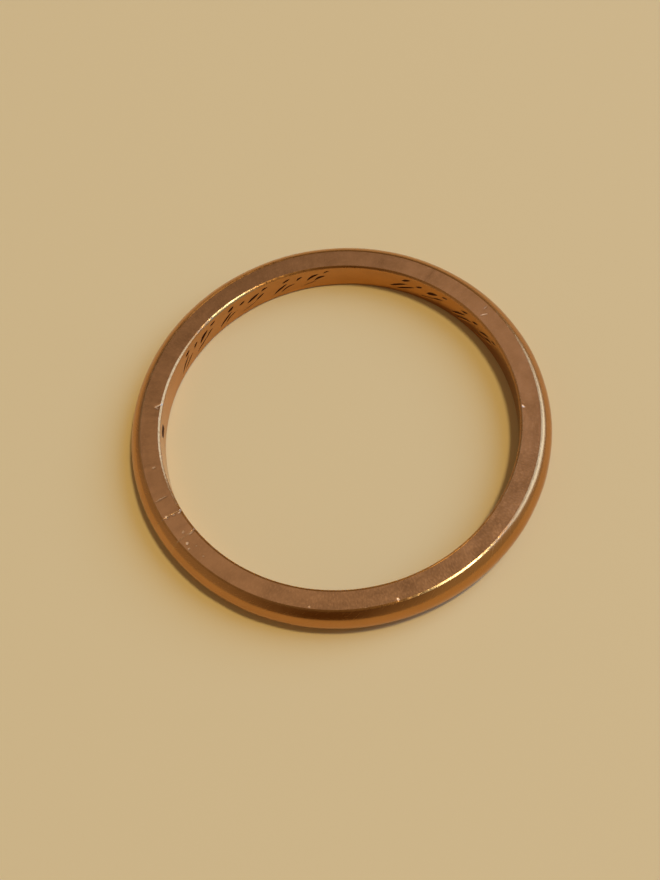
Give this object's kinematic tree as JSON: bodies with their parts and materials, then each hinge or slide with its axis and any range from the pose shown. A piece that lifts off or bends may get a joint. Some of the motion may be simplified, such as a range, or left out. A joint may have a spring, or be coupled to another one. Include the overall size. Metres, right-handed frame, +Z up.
{
  "type": "wedding band",
  "caption": "Narrow plain wedding band of D section with flat sides, a crowned outside, a straight bore and a soldered-in sizing piece.",
  "frame": {"origin": "centre of the flat side that the band rests on, on the axis of the bore", "axes": "+Z up along the axis of the bore; +X and +Y lie in the plane of the flat side, with the let-in sizing piece 207 degrees round from +X towards +Y"},
  "size_m": [0.0212, 0.0211, 0.0017],
  "materials": {
    "band_gold": "satin sides, polished crown and bore",
    "insert_gold": "satin sides, polished crown and bore",
    "gold_solder": "polished, filed flush"
  },
  "bodies": {
    "root": {"band_shank": "band_gold", "sizing_insert": "insert_gold", "solder_joint_clockwise": "gold_solder", "solder_joint_anticlockwise": "gold_solder"}
  },
  "joints": []
}
